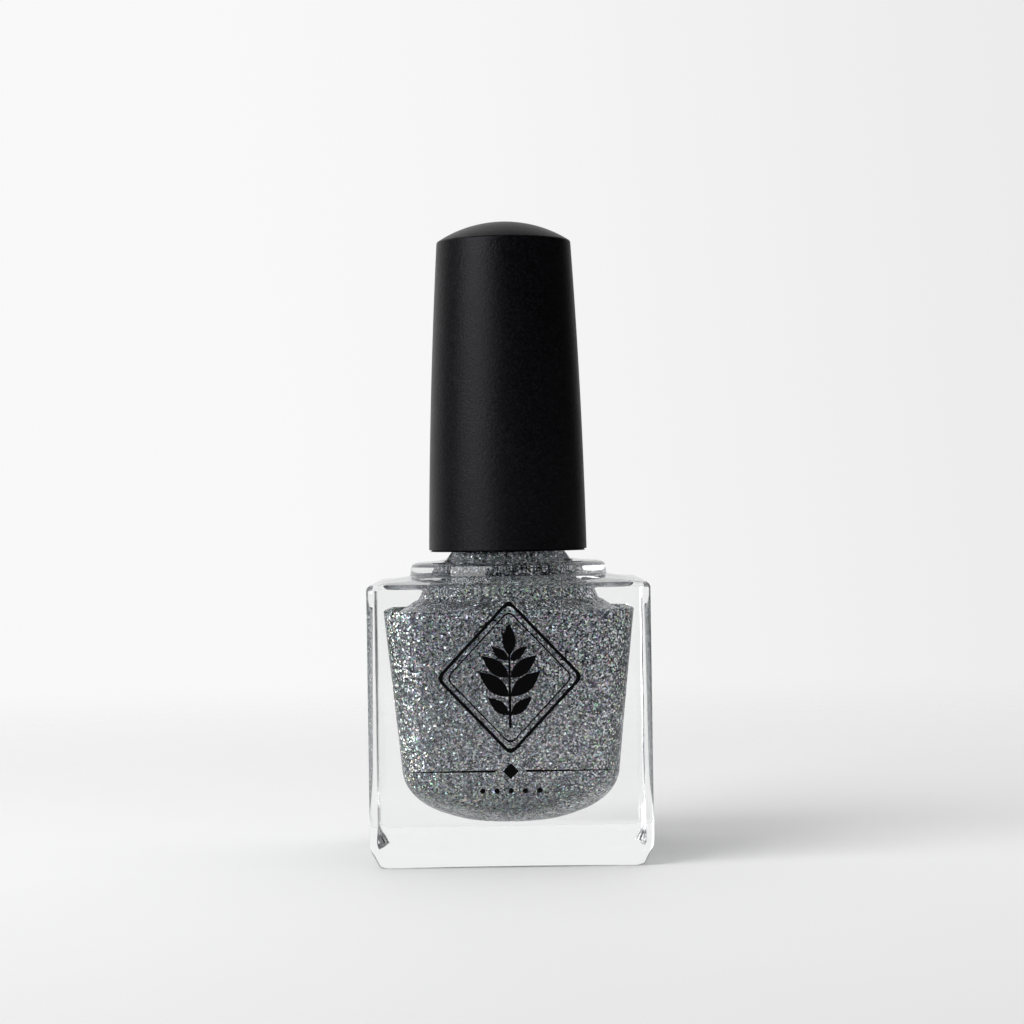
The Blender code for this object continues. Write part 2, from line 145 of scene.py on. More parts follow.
# ---- view --------------------------------------------------------------------------------------
CAMERA_DISTANCE = 318.7 * MM
CAMERA_HEIGHT = 39.95 * MM
CAMERA_ASIDE = 0.55 * MM
CAMERA_ROLL = 0.86
FOCAL_IN_FRAME_WIDTHS = 2.63671875
FLOOR_RADIUS = 0.6


# ---- outlines ----------------------------------------------------------------------------------

def arc(centre, radii, start, end, steps):
    """Points (across, up) of an elliptical arc between two angles in degrees."""
    points = []
    for step in range(steps + 1):
        angle = math.radians(start + (end - start) * step / steps)
        points.append((centre[0] + radii[0] * math.cos(angle), centre[1] + radii[1] * math.sin(angle)))
    return points


def filleted(corners, steps=6):
    """An outline through (across, up, fillet radius) corners, each rounded by an arc."""
    points = []
    for index, (across, up, radius) in enumerate(corners):
        here = Vector((across, up))
        if radius == 0 or index in (0, len(corners) - 1):
            points.append((across, up))
            continue
        back = (Vector(corners[index - 1][:2]) - here).normalized()
        ahead = (Vector(corners[index + 1][:2]) - here).normalized()
        half_angle = back.angle(ahead) / 2
        reach = radius / math.tan(half_angle)
        centre = here + (back + ahead).normalized() * (radius / math.sin(half_angle))
        first = here + back * reach - centre
        turn = math.pi - 2 * half_angle
        if first.x * ahead.y - first.y * ahead.x < 0:
            turn = -turn
        for step in range(steps + 1):
            points.append(tuple(centre + Matrix.Rotation(turn * step / steps, 2) @ first))
    return points


def spaced(start, end, steps):
    """Even steps from start to end, both included."""
    return [start + (end - start) * step / steps for step in range(steps + 1)]


def plan_reach(angle, half, corner):
    """Distance from the axis to the edge of a rounded square, in the direction of angle."""
    across, along = abs(math.cos(angle)), abs(math.sin(angle))
    straight = half - corner
    if along * half <= straight * across:
        return half / across
    if across * half <= straight * along:
        return half / along
    towards = straight * (across + along)
    return towards + math.sqrt(max(towards ** 2 - 2 * straight ** 2 + corner ** 2, 0.0))


def plan_angles():
    """Directions round the bottle: even on the flat sides, and closer together at the edges."""
    edge = math.atan2(BODY_HALF - EDGE_RADIUS, BODY_HALF)
    quarter = [edge * step / 14 for step in range(14)]
    quarter += [edge + (math.pi / 2 - 2 * edge) * step / 10 for step in range(10)]
    quarter += [math.pi / 2 - edge + edge * step / 14 for step in range(14)]
    return [angle + math.pi / 2 * turn for turn in range(4) for angle in quarter]


PLAN_ANGLES = plan_angles()


def square_ring(half, z, corner, squareness=1.0):
    """A ring that is a rounded square at squareness 1 and a circle at 0."""
    ring = []
    for angle in PLAN_ANGLES:
        reach = half + squareness * (plan_reach(angle, half, min(corner, half)) - half)
        ring.append((reach * math.cos(angle), reach * math.sin(angle), z))
    return ring


def round_ring(radius, z, steps=RING_STEPS):
    """A level circle of points about the axis."""
    turn = 2 * math.pi / steps
    return [(radius * math.cos(i * turn), radius * math.sin(i * turn), z) for i in range(steps)]


def thread_height(angle, z, thread):
    """Share of the full thread depth at a place on a threaded wall: a rounded ridge with run-outs."""
    bottom, turns = thread
    height = 0.0
    for lap in range(math.ceil(turns)):
        swept = angle + 2 * math.pi * lap
        if swept > turns * 2 * math.pi:
            break
        away = abs(z - bottom - THREAD_PITCH * swept / (2 * math.pi)) / (THREAD_WIDTH / 2)
        ridge = min(1.0, max(0.0, (1.0 - away) * 2.2))
        fade = min(1.0, math.degrees(min(swept, turns * 2 * math.pi - swept)) / THREAD_RUN_OUT)
        height = max(height, ridge * ridge * (3 - 2 * ridge) * fade)
    return height


# ---- meshes ------------------------------------------------------------------------------------

def new_piece(name, bm, material):
    """An object from a bmesh, smooth but for its sharp edges."""
    bmesh.ops.recalc_face_normals(bm, faces=bm.faces)
    mesh = bpy.data.meshes.new(name)
    bm.to_mesh(mesh)
    bm.free()
    mesh.shade_smooth()
    mesh.set_sharp_from_angle(angle=math.radians(50))
    mesh.materials.append(material)
    obj = bpy.data.objects.new(name, mesh)
    bpy.context.scene.collection.objects.link(obj)
    return obj


def settle(obj, body, slot, *nodes):
    """The piece rides on a body and stands for CAD nodes; the slot argument is not used."""
    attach(obj, body)
    if nodes:
        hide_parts(*nodes)


def even_normals(obj):
    """Keeps flat faces flat where they meet a rounded edge."""
    modifier = obj.modifiers.new("even_normals", 'WEIGHTED_NORMAL')
    modifier.keep_sharp = True


def add_loft(bm, rings, closed=False):
    """Skins a row of rings of points: joined end to end if closed, and capped if not."""
    rows = [[bm.verts.new(point) for point in ring] for ring in rings]
    pairs = list(zip(rows, rows[1:]))
    if closed:
        pairs.append((rows[-1], rows[0]))
    for lower, upper in pairs:
        for i in range(len(lower)):
            j = (i + 1) % len(lower)
            bm.faces.new((lower[i], lower[j], upper[j], upper[i]))
    if not closed:
        bm.faces.new(rows[0])
        bm.faces.new(rows[-1])
    return bm


def turned(profile, steps=RING_STEPS, closed=False):
    """A solid of revolution from a (radius, z) profile."""
    return add_loft(bmesh.new(), [round_ring(radius, z, steps) for radius, z in profile], closed)


# ---- node helpers ------------------------------------------------------------------------------

class Nodes:
    """Short ways to add nodes to a tree."""

    def __init__(self, tree):
        self.tree = tree

    def node(self, kind, inputs=(), **settings):
        """A node with its settings, and its inputs set to values or joined to other nodes."""
        node = self.tree.nodes.new(kind)
        for key, value in settings.items():
            setattr(node, key, value)
        for key, value in dict(inputs).items():
            if isinstance(value, bpy.types.NodeSocket):
                self.tree.links.new(value, node.inputs[key])
            else:
                node.inputs[key].default_value = value
        return node

    def ramp(self, value, low, high, start=0.0, end=1.0, easing='LINEAR'):
        """Value mapped from [start, end] to [low, high]."""
        node = self.node("ShaderNodeMapRange", {"Value": value, "From Min": start, "From Max": end,
                                                "To Min": low, "To Max": high}, interpolation_type=easing)
        return node.outputs["Result"]

    def math(self, operation, first, second):
        return self.node("ShaderNodeMath", {0: first, 1: second}, operation=operation).outputs["Value"]

    def vector(self, operation, first, second=(0, 0, 0)):
        """The result of vector mathematics: a number for a length or a dot product."""
        node = self.node("ShaderNodeVectorMath", {0: first, 1: second}, operation=operation)
        return node.outputs["Value" if operation in ('LENGTH', 'DOT_PRODUCT') else "Vector"]


class Shader(Nodes):
    """A material with a Principled BSDF, and the textures that feed it."""

    def __init__(self, name, colour, roughness, metallic=0.0, **sockets):
        self.material = bpy.data.materials.new(name)
        self.material.use_nodes = True
        super().__init__(self.material.node_tree)
        self.bsdf = self.tree.nodes["Principled BSDF"]
        self.set("Base Color", (*colour, 1.0))
        self.set("Roughness", roughness)
        self.set("Metallic", metallic)
        for key, value in sockets.items():
            self.set(key.replace("_", " "), value)
        self.place = self.tree.nodes.new("ShaderNodeTexCoord").outputs["Object"]

    def set(self, socket, value):
        self.bsdf.inputs[socket].default_value = value

    def link(self, output, socket):
        self.tree.links.new(output, self.bsdf.inputs[socket])

    def noise(self, size, detail=3.0, roughness=0.55, stretch=(1, 1, 1)):
        """Noise whose features are about size metres across."""
        place = self.place
        if stretch != (1, 1, 1):
            mapping = self.node("ShaderNodeMapping", {"Vector": self.place, "Scale": stretch})
            place = mapping.outputs["Vector"]
        node = self.node("ShaderNodeTexNoise", {"Vector": place, "Scale": 1.0 / size, "Detail": detail,
                                                "Roughness": roughness})
        return node.outputs["Fac"]

    def cells(self, size):
        """Random cells about size metres across."""
        return self.node("ShaderNodeTexVoronoi", {"Vector": self.place, "Scale": 1.0 / size})

    def colours(self, value, stops):
        """A colour ramp from (position, colour) stops."""
        node = self.node("ShaderNodeValToRGB", {"Fac": value})
        elements = node.color_ramp.elements
        while len(elements) < len(stops):
            elements.new(0.5)
        for element, (position, colour) in zip(elements, stops):
            element.position = position
            element.color = (*colour, 1.0)
        return node.outputs["Color"]

    def bump(self, height, distance, strength=1.0):
        node = self.node("ShaderNodeBump", {"Height": height, "Distance": distance, "Strength": strength})
        self.link(node.outputs["Normal"], "Normal")


# ---- materials ---------------------------------------------------------------------------------

def glass_material():
    """Clear soda-lime glass with the faint waves that a pressed mould leaves."""
    look = Shader("clear_glass", (0.985, 0.992, 0.990), 0.0, 0.0, Transmission_Weight=1.0, IOR=1.5)
    waves = look.noise(7.0 * MM, 2.0, 0.4, (1.0, 1.0, 0.45))
    look.bump(waves, 0.12 * MM, 0.5)
    return look.material


def lacquer_material():
    """Clear lacquer packed with fine silver flakes that lie at all angles and split the light."""
    look = Shader("glitter_lacquer", (0.5, 0.5, 0.5), 0.25, 0.92, Specular_IOR_Level=0.5)
    colour = look.cells(0.17 * MM).outputs["Color"]
    parts = look.node("ShaderNodeSeparateColor", {"Color": colour})
    grey = look.colours(parts.outputs["Red"], ((0.0, (0.03, 0.032, 0.037)), (0.25, (0.13, 0.15, 0.17)),
                                               (0.6, (0.52, 0.55, 0.59)), (1.0, (1.0, 1.0, 1.0))))
    tint = look.ramp(parts.outputs["Blue"], 0.0, 0.5, 0.55, 1.0)
    hue = look.node("ShaderNodeCombineColor", {"Red": parts.outputs["Green"], "Green": tint, "Blue": 1.0},
                    mode='HSV').outputs["Color"]
    flakes = look.node("ShaderNodeMix", {"Factor": 1.0, "A": grey, "B": hue}, data_type='RGBA',
                       blend_type='MULTIPLY')
    look.link(flakes.outputs["Result"], "Base Color")
    normal = look.node("ShaderNodeNewGeometry").outputs["Normal"]
    centred = look.vector('SUBTRACT', colour, (0.5, 0.5, 0.5))
    lean = look.vector('MULTIPLY', centred, (1.7, 1.7, 1.7))
    tilted = look.vector('NORMALIZE', look.vector('ADD', normal, lean))
    look.link(tilted, "Normal")
    return look.material


def soft_touch_material():
    """Black rubbery coating: a fine grain all over, faint cloudiness and a cool sheen."""
    look = Shader("soft_touch_black", (0.0010, 0.0010, 0.0012), 0.35, 0.0, Specular_IOR_Level=0.16)
    look.set("Specular Tint", (0.93, 0.90, 1.0, 1.0))
    look.link(look.ramp(look.noise(6.0 * MM), 0.33, 0.39, 0.3, 0.7), "Roughness")
    grain = look.noise(0.24 * MM, 2.0, 0.7)
    stops = ((0.45, (0.0004, 0.0004, 0.0005)), (0.75, (0.0090, 0.0088, 0.0112)))
    look.link(look.colours(grain, stops), "Base Color")
    look.bump(grain, 0.06 * MM, 0.9)
    return look.material


def plastic_material(name, colour, roughness):
    """Satin moulded plastic with flow marks."""
    look = Shader(name, colour, roughness, 0.0, Subsurface_Weight=0.15, Subsurface_Scale=1.0 * MM)
    flow = look.noise(2.5 * MM, 4.0, 0.6, (1.0, 1.0, 0.25))
    darker = tuple(0.93 * value for value in colour)
    look.link(look.colours(flow, ((0.3, darker), (0.7, colour))), "Base Color")
    look.link(look.ramp(flow, roughness - 0.05, roughness + 0.07), "Roughness")
    look.bump(look.noise(0.25 * MM, 2.0), 0.01 * MM, 0.5)
    return look.material


def foam_material():
    """Closed-cell foam sheet: small pits all over."""
    look = Shader("foam_liner", (0.86, 0.86, 0.84), 0.75)
    pits = look.cells(0.28 * MM).outputs["Distance"]
    look.link(look.colours(pits, ((0.1, (0.90, 0.90, 0.88)), (0.8, (0.74, 0.74, 0.72)))), "Base Color")
    look.bump(pits, 0.03 * MM, 0.7)
    return look.material


def filament_material():
    """Dark nylon, wet with glitter lacquer towards the tip."""
    look = Shader("nylon_filament", (0.05, 0.05, 0.055), 0.35)
    colour = look.cells(0.20 * MM).outputs["Color"]
    height = look.node("ShaderNodeSeparateXYZ", {"Vector": look.place}).outputs["Z"]
    wet = look.ramp(height, 1.0, 0.0, TUFT_LOW.z + 6 * MM, ROD_LOW.z)
    sparse = look.node("ShaderNodeSeparateColor", {"Color": colour}).outputs["Red"]
    flakes = look.math('MULTIPLY', wet, look.ramp(sparse, 0.0, 1.0, 0.35, 0.5))
    nylon, silver = (0.045, 0.045, 0.05, 1), (0.72, 0.74, 0.76, 1)
    mixed = look.node("ShaderNodeMix", {"Factor": flakes, "A": nylon, "B": silver}, data_type='RGBA')
    look.link(mixed.outputs["Result"], "Base Color")
    look.link(look.math('MULTIPLY', flakes, 0.9), "Metallic")
    return look.material


def metal_material(name, colour, roughness, stretch):
    """Worked metal with fine lines, drawn out along the axis with the smallest stretch."""
    look = Shader(name, colour, roughness, 1.0)
    lines = look.noise(0.4 * MM, 3.0, 0.6, stretch)
    look.link(look.ramp(lines, roughness * 0.7, roughness * 1.5), "Roughness")
    darker = tuple(0.88 * value for value in colour)
    look.link(look.colours(lines, ((0.3, darker), (0.7, colour))), "Base Color")
    look.bump(lines, 0.004 * MM, 0.5)
    return look.material


def ink_material():
    """Screen-printed black enamel: slightly uneven where the mesh laid it down."""
    look = Shader("black_ink", (0.0015, 0.0015, 0.0018), 0.35, Specular_IOR_Level=0.05)
    weave = look.noise(0.15 * MM, 2.0)
    look.link(look.ramp(weave, 0.28, 0.45), "Roughness")
    stops = ((0.3, (0.001, 0.001, 0.0012)), (0.8, (0.002, 0.002, 0.0024)))
    look.link(look.colours(weave, stops), "Base Color")
    look.bump(weave, 0.006 * MM, 0.5)
    return look.material


# ---- bottle ------------------------------------------------------------------------------------

def glass_outside():
    """(reach, z, squareness) of the outside, from the middle of the push-up to the rim's outer edge."""
    dome = (PUSH_UP_RADIUS ** 2 + PUSH_UP_DEPTH ** 2) / (2 * PUSH_UP_DEPTH)
    points = []
    for step in range(1, 12):
        reach = PUSH_UP_RADIUS * step / 12
        points.append((reach, PUSH_UP_DEPTH - (dome - math.sqrt(dome ** 2 - reach ** 2)), 0.0))
    points += [(reach, z, 0.0) for reach, z in filleted(
        [(PUSH_UP_RADIUS * 0.97, 0.07 * MM, 0), (PUSH_UP_RADIUS, 0, 0.5 * MM),
         (PUSH_UP_RADIUS + 1 * MM, 0, 0)], 3)]
    inner = BODY_HALF - HEEL_INSET
    points.append((inner - 1.2 * MM, 0.0, 0.8))
    points += [(reach, z, 1.0) for reach, z in filleted(
        [(inner - 0.9 * MM, 0, 0), (inner, 0, 0.45 * MM), (BODY_HALF, HEEL_HEIGHT, 3.6 * MM),
         (BODY_HALF, HEEL_HEIGHT + 2 * MM, 0)], 8)]
    points += [(BODY_HALF, z, 1.0) for z in spaced(HEEL_HEIGHT + 2 * MM, SHOULDER_Z - 1.6 * MM, 12)[1:]]
    slope = filleted([(BODY_HALF, SHOULDER_Z - 1.5 * MM, 0), (BODY_HALF, SHOULDER_Z, 0.7 * MM),
                      (DISC_RADIUS + 0.1 * MM, DISC_FOOT_Z, 0.2 * MM),
                      (DISC_RADIUS - 0.05 * MM, DISC_TOP_Z - DISC_ROUNDING[1] - 0.1 * MM, 0)], 8)
    disc_edge = (DISC_RADIUS - 0.1 * MM - DISC_ROUNDING[0], DISC_TOP_Z - DISC_ROUNDING[1])
    slope += arc(disc_edge, DISC_ROUNDING, 0, 84, 10)
    slope += filleted([(NECK_FOOT_RADIUS + 1.2 * MM, DISC_TOP_Z + 0.12 * MM, 0),
                       (NECK_FOOT_RADIUS, NECK_FOOT_Z, 0.25 * MM),
                       (NECK_ROOT_RADIUS, NECK_ROOT_Z + 0.4 * MM, 0.6 * MM),
                       (NECK_ROOT_RADIUS, NECK_ROOT_Z + 2 * MM, 0)], 6)
    for reach, z in slope:
        share = (reach - DISC_RADIUS - 0.6 * MM) / (BODY_HALF - 2.2 * MM - DISC_RADIUS)
        points.append((reach, z, min(1.0, max(0.0, share))))
    points += [(NECK_ROOT_RADIUS, z, 0.0) for z in spaced(NECK_ROOT_Z + 2.2 * MM, RIM_Z - 0.8 * MM, 64)]
    points += [(reach, z, 0.0) for reach, z in filleted(
        [(NECK_ROOT_RADIUS, RIM_Z - 0.7 * MM, 0), (NECK_ROOT_RADIUS, RIM_Z, 0.5 * MM),
         (NECK_ROOT_RADIUS - 0.7 * MM, RIM_Z, 0)], 6)]
    return points


def refine(points, longest):
    """Adds points to the long stretches of an outline."""
    fine = [points[0]]
    for before, after in zip(points, points[1:]):
        length = math.hypot(after[0] - before[0], after[1] - before[1])
        steps = max(1, math.ceil(length / longest))
        for step in range(1, steps + 1):
            share = step / steps
            fine.append(tuple(a + (b - a) * share for a, b in zip(before, after)))
    return fine


def cavity_outline():
    """(reach, z) of the inside, from the middle of the floor to the foot of the bore."""
    curve_top = FLOOR_Z + FLOOR_CURVE[1]
    points = [(FLOOR_FLAT * share, FLOOR_Z) for share in (0.2, 0.6)]
    points += arc((FLOOR_FLAT, curve_top), FLOOR_CURVE, -90, 0, 18)
    side = FLOOR_FLAT + FLOOR_CURVE[0]
    top_half = side + CHAMBER_TAPER * (CHAMBER_TOP_Z - curve_top)
    points += [(side + CHAMBER_TAPER * (z - curve_top), z)
               for z in spaced(curve_top + 1 * MM, CHAMBER_TOP_Z - 1.5 * MM, 8)]
    easing = 0.8 * MM
    points += filleted([(top_half - 0.12 * MM, CHAMBER_TOP_Z - 1.2 * MM, 0),
                        (top_half, CHAMBER_TOP_Z, easing),
                        (THROAT_RADIUS + 0.1 * MM, CHAMBER_TOP_Z + 0.1 * MM, 0.5 * MM),
                        (*THROAT_SHELF, easing), (*FUNNEL, easing), (*FUNNEL_TOP, easing),
                        (BORE_RADIUS, BORE_BOTTOM_Z, easing), (BORE_RADIUS, BORE_BOTTOM_Z + 1 * MM, 0)], 6)
    return points


def cavity_ring(reach, z):
    """A level ring of the inside: square in the chamber, and round on the shelf and above it."""
    corner = CHAMBER_CORNER + 0.4 * max(0.0, FLOOR_Z + FLOOR_CURVE[1] - z)
    inner_shelf = (reach - THROAT_RADIUS - 0.4 * MM) / (2.4 * MM)
    squareness = min(1.0, max(0.0, inner_shelf)) if z > CHAMBER_TOP_Z - 0.9 * MM else 1.0
    return square_ring(reach, z, corner, squareness)


def glass_piece():
    """The bottle: one closed skin, up the outside, over the rim and down the inside."""
    outside = refine(glass_outside(), OUTLINE_SPACING)
    rings = []
    for reach, z, squareness in outside:
        ring = square_ring(reach, z, EDGE_RADIUS, squareness)
        if z > NECK_ROOT_Z + 2 * MM:
            ring = [threaded(point, angle, THREAD_DEPTH, BOTTLE_THREAD)
                    for point, angle in zip(ring, PLAN_ANGLES)]
        rings.append(ring)
    bore = filleted([(BORE_RADIUS, BORE_BOTTOM_Z + 1.5 * MM, 0), (BORE_RADIUS, RIM_Z, 0.5 * MM),
                     (BORE_RADIUS + 0.7 * MM, RIM_Z, 0)], 6)
    inside = [cavity_ring(reach, z) for reach, z in refine(cavity_outline(), OUTLINE_SPACING)]
    inside += [square_ring(reach, z, 0, 0.0) for reach, z in refine(bore, 2.0 * MM)]
    bottle = new_piece("glass", add_loft(bmesh.new(), rings + inside[::-1]), glass_material())
    even_normals(bottle)
    settle(bottle, "bottle", "clear_glass", "glass_bottle")


def threaded(point, angle, depth, thread):
    """A point of a round wall moved out by the thread that runs over it."""
    x, y, z = point
    radius = math.hypot(x, y)
    swell = (radius + depth * thread_height(angle, z, thread)) / radius
    return (x * swell, y * swell, z)


def wetted(outline):
    """An outline moved a hair into the glass, so that lacquer and glass meet with no air between."""
    moved = []
    for index, (reach, z) in enumerate(outline):
        before = Vector(outline[max(index - 1, 0)])
        after = Vector(outline[min(index + 1, len(outline) - 1)])
        along = (after - before).normalized()
        moved.append((reach + WETTING * along.y, z - WETTING * along.x))
    return moved


def lacquer_piece():
    """The lacquer: it fills the cavity, and its surface creeps up the neck bore."""
    outline = wetted(refine(cavity_outline(), OUTLINE_SPACING))
    rings = [cavity_ring(reach, z) for reach, z in outline if z < FILL_Z]
    wall = BORE_RADIUS + WETTING
    meniscus = ((1.0, 0.35), (0.95, 0.18), (0.85, 0.05), (0.65, 0.0), (0.4, 0.0), (0.1, 0.0))
    for share, climb in meniscus:
        rings.append(square_ring(wall * share, FILL_Z + climb * MM, 0, 0.0))
    lacquer = new_piece("lacquer", add_loft(bmesh.new(), rings), lacquer_material())
    settle(lacquer, "bottle", "glitter_lacquer", "polish")


# ---- print on the front ------------------------------------------------------------------------

def plate(bm, outline, hole=()):
    """A thin ink shape on the bottle's front, from (x, z) points, with a hole of as many points or none."""
    back = -BODY_HALF + INK_ROOT
    front = -BODY_HALF - INK_THICKNESS
    near = [bm.verts.new((x, front, z)) for x, z in outline]
    far = [bm.verts.new((x, back, z)) for x, z in outline]
    for i in range(len(outline)):
        j = (i + 1) % len(outline)
        bm.faces.new((near[i], near[j], far[j], far[i]))
    if not hole:
        bm.faces.new(near)
        bm.faces.new(far[::-1])
        return
    inner_near = [bm.verts.new((x, front, z)) for x, z in hole]
    inner_far = [bm.verts.new((x, back, z)) for x, z in hole]
    for i in range(len(outline)):
        j = (i + 1) % len(outline)
        bm.faces.new((near[i], near[j], inner_near[j], inner_near[i]))
        bm.faces.new((far[i], inner_far[i], inner_far[j], far[j]))
        bm.faces.new((inner_near[i], inner_near[j], inner_far[j], inner_far[i]))


def lozenge(width, height, centre_z, rounding):
    """A diamond outline with rounded corners; width and height are from its middle."""
    corners = [(0, -height), (width, 0), (0, height), (-width, 0)]
    points = []
    for index, (x, z) in enumerate(corners):
        here = Vector((x, z))
        back = (Vector(corners[index - 1]) - here).normalized()
        ahead = (Vector(corners[(index + 1) % 4]) - here).normalized()
        for step in range(7):
            share = step / 6
            point = here + rounding * (back * (1 - share) ** 2 + ahead * share ** 2)
            points.append((point.x, centre_z + point.y))
    return points


def leaf(base, tip, fullness):
    """A pointed leaf between two (x, z) points."""
    start, end = Vector(base), Vector(tip)
    side = Vector((-(end - start).y, (end - start).x)) * fullness
    outline = []
    for step in range(13):
        share = step / 12
        outline.append(start.lerp(end, share) + side * math.sin(math.pi * share ** 0.85))
    for step in range(11, 0, -1):
        share = step / 12
        outline.append(start.lerp(end, share) - side * math.sin(math.pi * share ** 0.85))
    return [(point.x, point.y) for point in outline]


def front_print():
    """A plain ornament: a leafy sprig in a double lozenge, and a rule with a diamond below it."""
    bm = bmesh.new()
    middle = PRINT_CENTRE_Z
    for width, height, line in ((8.3, 8.8, 0.36), (7.2, 7.6, 0.16)):
        outer = lozenge(width * MM, height * MM, middle, 0.9 * MM)
        inner = lozenge((width - line * 1.4) * MM, (height - line * 1.4) * MM, middle, 0.9 * MM)
        plate(bm, outer, inner)
    foot, top = middle - 5.6 * MM, middle + 2.9 * MM
    stem = [(-0.16 * MM, foot), (0.16 * MM, foot), (0.10 * MM, top), (-0.10 * MM, top)]
    plate(bm, stem)
    plate(bm, leaf((0, middle + 2.5 * MM), (0, middle + 6.1 * MM), 0.21))
    for level, reach in ((-4.2, 2.5), (-2.1, 3.5), (0.0, 3.1), (1.9, 2.0)):
        for side in (-1, 1):
            base = (side * 0.1 * MM, middle + level * MM)
            tip = (side * reach * MM, middle + (level + 0.8 * reach) * MM)
            plate(bm, leaf(base, tip, 0.20))
    plate(bm, lozenge(0.9 * MM, 0.9 * MM, RULE_Z, 0.08 * MM))
    for side in (-1, 1):
        near, far = side * 1.7 * MM, side * 11.2 * MM
        rule = [(near, RULE_Z - 0.13 * MM), (far, RULE_Z - 0.04 * MM), (far, RULE_Z + 0.04 * MM),
                (near, RULE_Z + 0.13 * MM)]
        plate(bm, rule if side > 0 else rule[::-1])
    for index in range(-2, 3):
        dot = arc((index * 1.6 * MM, DOTS_Z), (0.3 * MM, 0.3 * MM), 0, 345, 23)
        plate(bm, dot)
    ink = new_piece("front_print", bm, ink_material())
    settle(ink, "bottle", "soft_touch_black")


# ---- closure -----------------------------------------------------------------------------------

def cap_side(z):
    """Radius of the cap's side at a height."""
    share = (z - CAP_BOTTOM_Z) / (CAP_RIM_Z - CAP_BOTTOM_Z)
    taper = CAP_BOTTOM_RADIUS + (CAP_RIM_RADIUS - CAP_BOTTOM_RADIUS) * share
    return taper + 4 * CAP_SIDE_BULGE * share * (1 - share)


def cap_piece():
    """The outer cap: tapered side with a slight swelling, eased edges and a shallow dome."""
    height = CAP_TOP_Z - CAP_RIM_Z
    sphere = (CAP_RIM_RADIUS ** 2 + height ** 2) / (2 * height)
    centre = CAP_TOP_Z - sphere
    side = [(cap_side(z), z) for z in spaced(CAP_BOTTOM_Z + 0.25 * MM, CAP_RIM_Z - 0.5 * MM, 40)]
    lip = filleted([(CAP_BOTTOM_RADIUS - 0.9 * MM, CAP_BOTTOM_Z, 0),
                    (CAP_BOTTOM_RADIUS, CAP_BOTTOM_Z, 0.15 * MM),
                    (cap_side(CAP_BOTTOM_Z + 0.2 * MM), CAP_BOTTOM_Z + 0.2 * MM, 0)], 4)
    dome_edge = CAP_RIM_RADIUS - 0.8 * MM
    side_top = CAP_RIM_Z - 0.45 * MM
    rim = filleted([(cap_side(side_top), side_top, 0), (CAP_RIM_RADIUS, CAP_RIM_Z, 0.35 * MM),
                    (dome_edge, centre + math.sqrt(sphere ** 2 - dome_edge ** 2), 0)], 6)
    span = math.asin(dome_edge / sphere)
    dome = [(sphere * math.sin(span * share), centre + sphere * math.cos(span * share))
            for share in spaced(0.96, 0.02, 16)]
    inner_top = CAP_RIM_Z - CAP_WALL
    inside = [(0.4 * MM, inner_top + 1.0 * MM), (4.0 * MM, inner_top + 0.8 * MM)]
    inside += [(cap_side(z) - CAP_WALL, z) for z in spaced(inner_top, CAP_BOTTOM_Z + 0.1 * MM, 12)]
    shell = turned(inside + lip + side + rim + dome, FINE_RING_STEPS)
    cap = new_piece("cap_shell", shell, soft_touch_material())
    settle(cap, "cap", "soft_touch_black", "outer_cap")


def inner_cap_piece():
    """Threaded insert with splines outside, a deck and the socket for the stem's head."""
    wall = 0.9 * MM
    socket = STEM_HEAD_RADIUS + CLOSURE_GAP
    deck = ROD_HIGH.z - STEM_HEAD_HEIGHT + CLOSURE_GAP
    socket_top = ROD_HIGH.z + CLOSURE_GAP
    centre, easing = 0.2 * MM, 0.3 * MM
    under = filleted([(centre, socket_top, 0), (socket, socket_top, easing), (socket, deck, easing / 2),
                      (SKIRT_RADIUS, deck, easing), (SKIRT_RADIUS, deck - 4 * MM, 0)], 3)
    under += [(SKIRT_RADIUS, z) for z in spaced(deck - 4.4 * MM, INNER_LOW.z + 1 * MM, 60)]
    inset = CAP_WALL + CLOSURE_GAP + SPLINE_HEIGHT
    tube = cap_side(INNER_HIGH.z) - inset - wall
    deck_top, boss, boss_top = deck + 1.2 * MM, socket + 1.3 * MM, socket_top + 1.3 * MM
    above = filleted([(tube, INNER_HIGH.z, 0), (tube, deck_top, easing), (boss, deck_top, easing),
                      (boss, boss_top, easing), (centre, boss_top, 0)], 3)
    turn = 2 * math.pi / FINE_RING_STEPS
    rings = []
    for radius, z in under:
        ring = round_ring(radius, z, FINE_RING_STEPS)
        if z < deck - 4 * MM:
            ring = [threaded(point, i * turn, -THREAD_DEPTH, CAP_THREAD) for i, point in enumerate(ring)]
        rings.append(ring)
    rings.append(round_ring(SKIRT_RADIUS + 0.1 * MM, INNER_LOW.z, FINE_RING_STEPS))
    for z in spaced(INNER_LOW.z, INNER_HIGH.z, 12):
        ring = []
        for i in range(FINE_RING_STEPS):
            ridge = min(1.0, max(0.0, 0.5 + 1.6 * math.cos(i * turn * SPLINES)))
            proud = cap_side(z) - inset + SPLINE_HEIGHT * ridge
            ring.append((proud * math.cos(i * turn), proud * math.sin(i * turn), z))
        rings.append(ring)
    rings += [round_ring(radius, z, FINE_RING_STEPS) for radius, z in above]
    insert = new_piece("screw_insert", add_loft(bmesh.new(), rings),
                       plastic_material("inner_cap_plastic", (0.78, 0.78, 0.77), 0.42))
    settle(insert, "cap", "inner_cap_plastic", "inner_cap")


